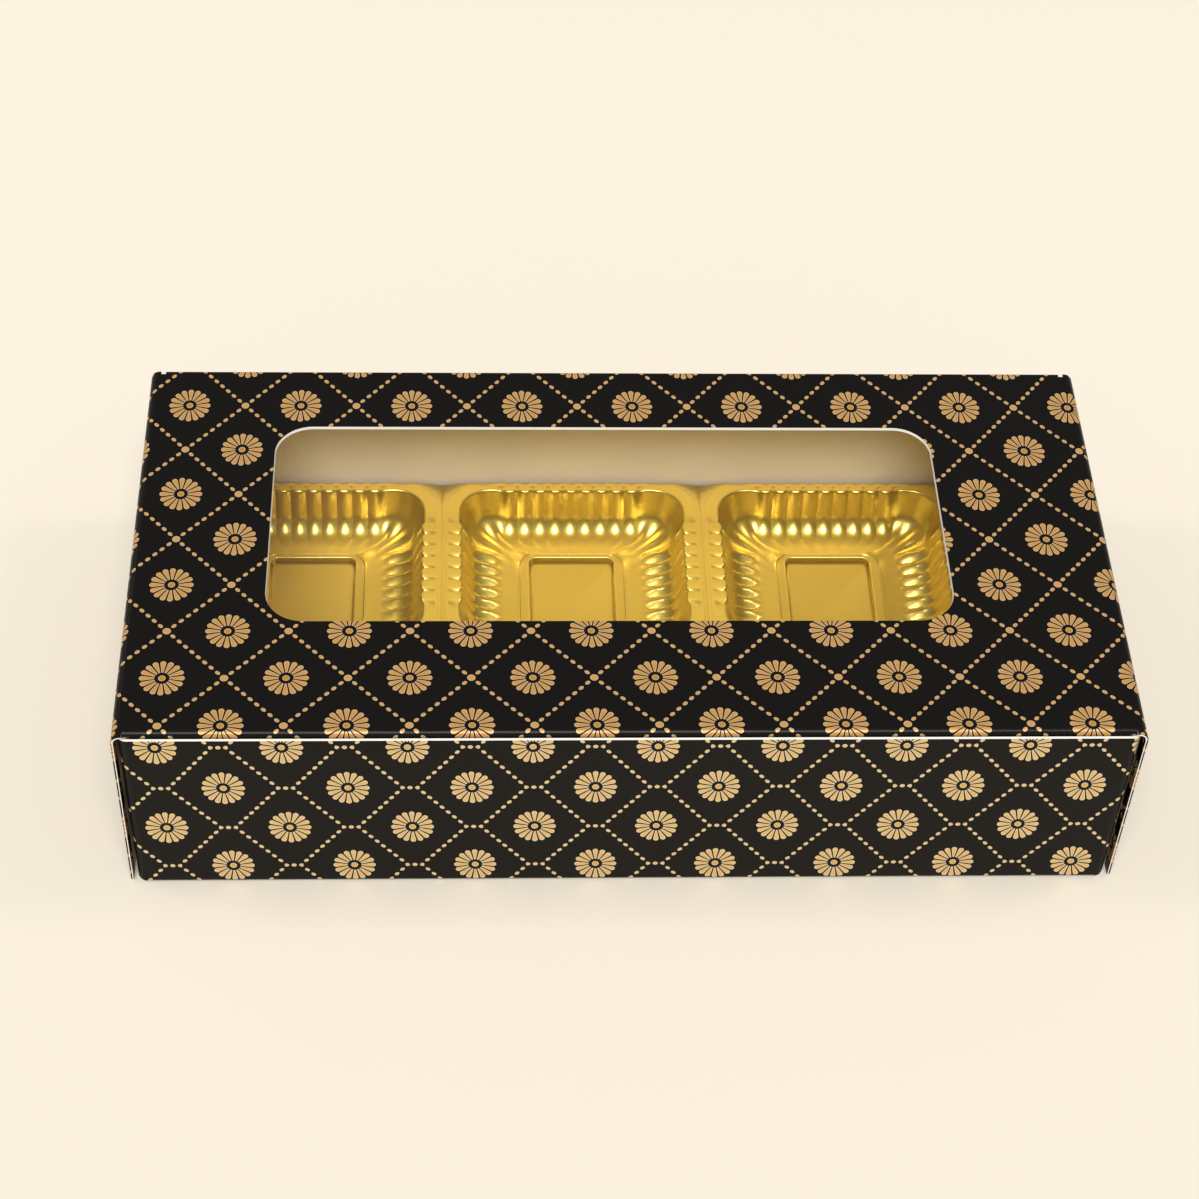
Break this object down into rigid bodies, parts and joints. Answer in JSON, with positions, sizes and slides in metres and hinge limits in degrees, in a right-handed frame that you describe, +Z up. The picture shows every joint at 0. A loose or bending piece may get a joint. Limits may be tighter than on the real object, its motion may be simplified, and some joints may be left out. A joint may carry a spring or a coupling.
{
  "type": "chocolate box",
  "caption": "Folding board chocolate box with a hinged window lid, side flaps, a tuck flap and a gold thermoformed insert with fluted cavities",
  "frame": {"origin": "middle of the underside of the closed box", "axes": "+X to the right along the long side, +Y to the back hinge, +Z up"},
  "size_m": [0.165, 0.0844, 0.038],
  "materials": {
    "printed_board": "satin black print with small gold flowers, plain inside, white cut edges",
    "clear_film": "clear film",
    "gold_sheet": "bright metallised gold sheet"
  },
  "bodies": {
    "tray": {"base_panel": "printed_board", "front_wall": "printed_board", "back_wall": "printed_board", "left_wall": "printed_board", "right_wall": "printed_board", "front_left_tab": "printed_board", "front_right_tab": "printed_board", "back_left_tab": "printed_board", "back_right_tab": "printed_board"},
    "insert": {"insert": "gold_sheet"},
    "lid": {"lid_panel": "printed_board", "window_film": "clear_film"},
    "left_flap": {"lid_left_flap": "printed_board"},
    "right_flap": {"lid_right_flap": "printed_board"},
    "front_flap": {"tuck_flap": "printed_board"}
  },
  "joints": [
    {"name": "lid_hinge", "type": "hinge", "parent": "tray", "child": "lid", "pos_m": [0, 0.04225, 0.038], "axis": [-1, 0, 0], "range_deg": [0, 180]},
    {"name": "tuck_fold", "type": "hinge", "parent": "lid", "child": "front_flap", "pos_m": [0, -0.04145, 0.038], "axis": [-1, 0, 0], "range_deg": [0, 90]},
    {"name": "left_flap_fold", "type": "hinge", "parent": "lid", "child": "left_flap", "pos_m": [-0.0825, 0, 0.038], "axis": [0, 1, 0], "range_deg": [0, 90]},
    {"name": "right_flap_fold", "type": "hinge", "parent": "lid", "child": "right_flap", "pos_m": [0.0825, 0, 0.038], "axis": [0, -1, 0], "range_deg": [0, 90]},
    {"name": "insert_lift", "type": "slide", "parent": "tray", "child": "insert", "axis": [0, 0, 1], "range_m": [0, 0.012]}
  ],
  "couplings": [
    {"joint": "tuck_fold", "follows": "lid_hinge", "ratio": 0.5}
  ]
}
